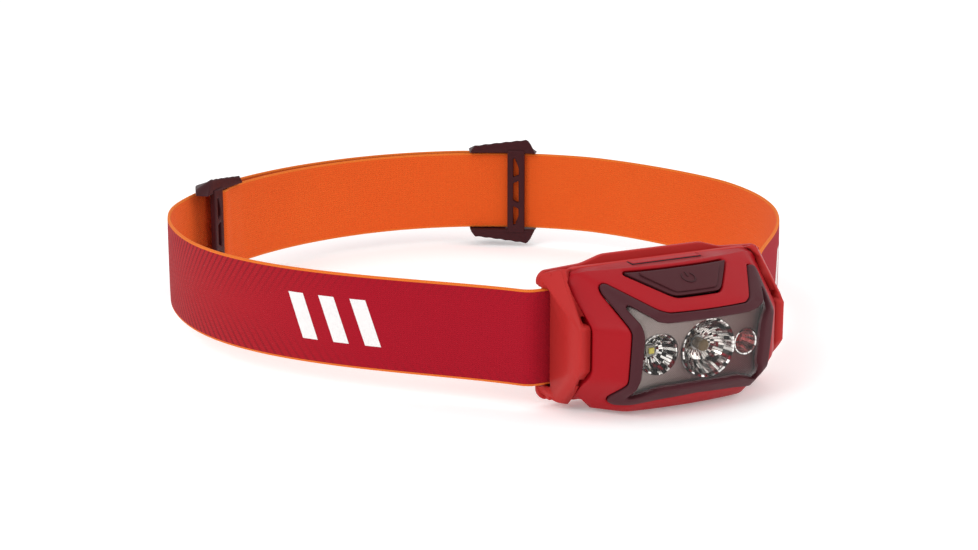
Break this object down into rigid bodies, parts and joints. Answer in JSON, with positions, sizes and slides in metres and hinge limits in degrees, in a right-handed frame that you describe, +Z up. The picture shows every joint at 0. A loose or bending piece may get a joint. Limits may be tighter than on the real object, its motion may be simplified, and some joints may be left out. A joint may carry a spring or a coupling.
{
  "type": "headlamp",
  "caption": "Battery headlamp: tilting lamp head with window, button and battery case, on a bracket threaded on a woven elastic head strap with sliding adjusters.",
  "frame": {"origin": "centre of the flat rear face of the bracket's back plate, which rests on the forehead", "axes": "+Y from the lamp to the wearer's head, the beam points along -Y, +Z up along the forehead, +X to the right looking along +Y"},
  "size_m": [0.1749, 0.2045, 0.0369],
  "materials": {
    "red_plastic": "satin",
    "red_housing": "satin",
    "strap_fabric": "woven",
    "adjuster_plastic": "matte",
    "steel": "brushed",
    "spring_steel": "satin",
    "case_plastic": "matte",
    "cell_wrap": "satin",
    "nickel": "polished",
    "bezel_rubber": "matte",
    "button_rubber": "matte",
    "clear_plastic": "clear",
    "reflector_metal": "mirror",
    "panel_grey": "satin",
    "led_yellow": "satin",
    "led_red": "satin",
    "aluminium": "satin",
    "board_green": "satin",
    "chip_black": "matte",
    "ferrite": "matte"
  },
  "bodies": {
    "bracket": {"bracket": "red_plastic", "headband_strap": "strap_fabric", "hinge_pin": "steel", "detent_spring": "spring_steel"},
    "battery_case": {"battery_case": "case_plastic", "battery_cell_top": "cell_wrap", "battery_cell_middle": "cell_wrap", "battery_cell_bottom": "cell_wrap", "contact_plate_left": "nickel", "contact_plate_right": "nickel", "contact_spring_top": "spring_steel", "contact_spring_middle": "spring_steel", "contact_spring_bottom": "spring_steel"},
    "lamp_head": {"front_housing": "red_housing", "window_bezel": "bezel_rubber", "window_lens": "clear_plastic", "reflector_panel": "panel_grey", "spot_reflector": "reflector_metal", "flood_reflector": "reflector_metal", "red_dome_lens": "clear_plastic", "spot_lens": "clear_plastic", "spot_led": "led_yellow", "flood_led": "led_yellow", "red_led": "led_red", "heat_sink": "aluminium", "main_circuit_board": "board_green", "control_chip": "chip_black", "power_inductor": "ferrite", "tact_switch": "chip_black", "board_screw_left": "steel", "board_screw_right": "steel"},
    "button": {"power_button": "button_rubber"},
    "switch_plunger": {"switch_plunger": "steel"},
    "adjuster_left": {"adjuster_left": "adjuster_plastic", "strap_end_left": "strap_fabric"},
    "adjuster_right": {"adjuster_right": "adjuster_plastic", "strap_end_right": "strap_fabric"}
  },
  "joints": [
    {"name": "tilt", "type": "hinge", "parent": "bracket", "child": "battery_case", "pos_m": [0, -0.0074, -0.0162], "axis": [1, 0, 0], "range_deg": [0, 60]},
    {"name": "case_open", "type": "hinge", "parent": "battery_case", "child": "lamp_head", "pos_m": [0, -0.0074, -0.0162], "axis": [1, 0, 0], "range_deg": [0, 70]},
    {"name": "button_press", "type": "slide", "parent": "lamp_head", "child": "button", "axis": [0, 0.401, -0.9161], "range_m": [0, 0.0006]},
    {"name": "plunger_press", "type": "slide", "parent": "lamp_head", "child": "switch_plunger", "axis": [0, 0.401, -0.9161], "range_m": [0, 0.0006]},
    {"name": "adjuster_left_slide", "type": "hinge", "parent": "bracket", "child": "adjuster_left", "pos_m": [0.00037, 0.07127, 0], "axis": [0, 0, -1], "range_deg": [-4, 10]},
    {"name": "adjuster_right_slide", "type": "hinge", "parent": "bracket", "child": "adjuster_right", "pos_m": [-0.0012, 0.0892, 0], "axis": [0, 0, 1], "range_deg": [-8, 14]}
  ],
  "couplings": [
    {"joint": "plunger_press", "follows": "button_press", "ratio": 1}
  ]
}
